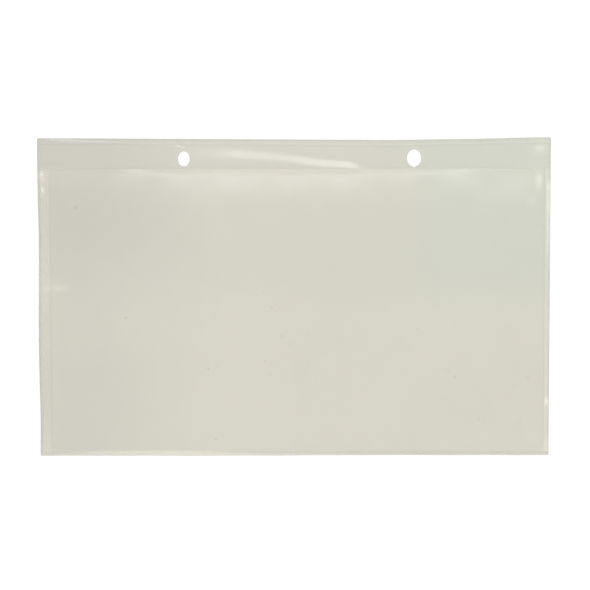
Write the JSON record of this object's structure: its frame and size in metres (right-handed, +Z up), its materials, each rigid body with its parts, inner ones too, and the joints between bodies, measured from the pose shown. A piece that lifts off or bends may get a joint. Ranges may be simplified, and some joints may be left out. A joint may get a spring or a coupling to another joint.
{
  "type": "label holder pouch",
  "caption": "Flat translucent film label holder: an open-topped pocket with heat-welded sides and a folded foot, hung from a header with two punched holes.",
  "frame": {"origin": "midway between the two hanging holes, on the back face of the header", "axes": "+Z up as it hangs, the front with the pocket's front leaf faces -Y, +X along the header to the right as seen from the front"},
  "size_m": [0.2031, 0.0021, 0.1269],
  "materials": {
    "film": "milky translucent film, soft gloss, slightly wavy",
    "weld": "melted film, glossy bead with fine crimp lines",
    "fold": "tightly creased film, glossy along the nose"
  },
  "bodies": {
    "header": {"header_lip": "film"},
    "pocket": {"back_panel": "film", "left_side_weld": "weld", "right_side_weld": "weld", "bottom_fold": "fold"},
    "front": {"front_film": "film"}
  },
  "joints": [
    {"name": "pocket_swing", "type": "hinge", "parent": "header", "child": "pocket", "pos_m": [-0.00195, -0.0001, -0.004], "axis": [-1, 0, 0], "range_deg": [-90, 90]},
    {"name": "mouth_open", "type": "hinge", "parent": "pocket", "child": "front", "pos_m": [-0.00195, -0.0005, -0.11805], "axis": [1, 0, 0], "range_deg": [0, 5], "stiffness_Nm_per_rad": 0.05, "springref_deg": -2.86}
  ]
}
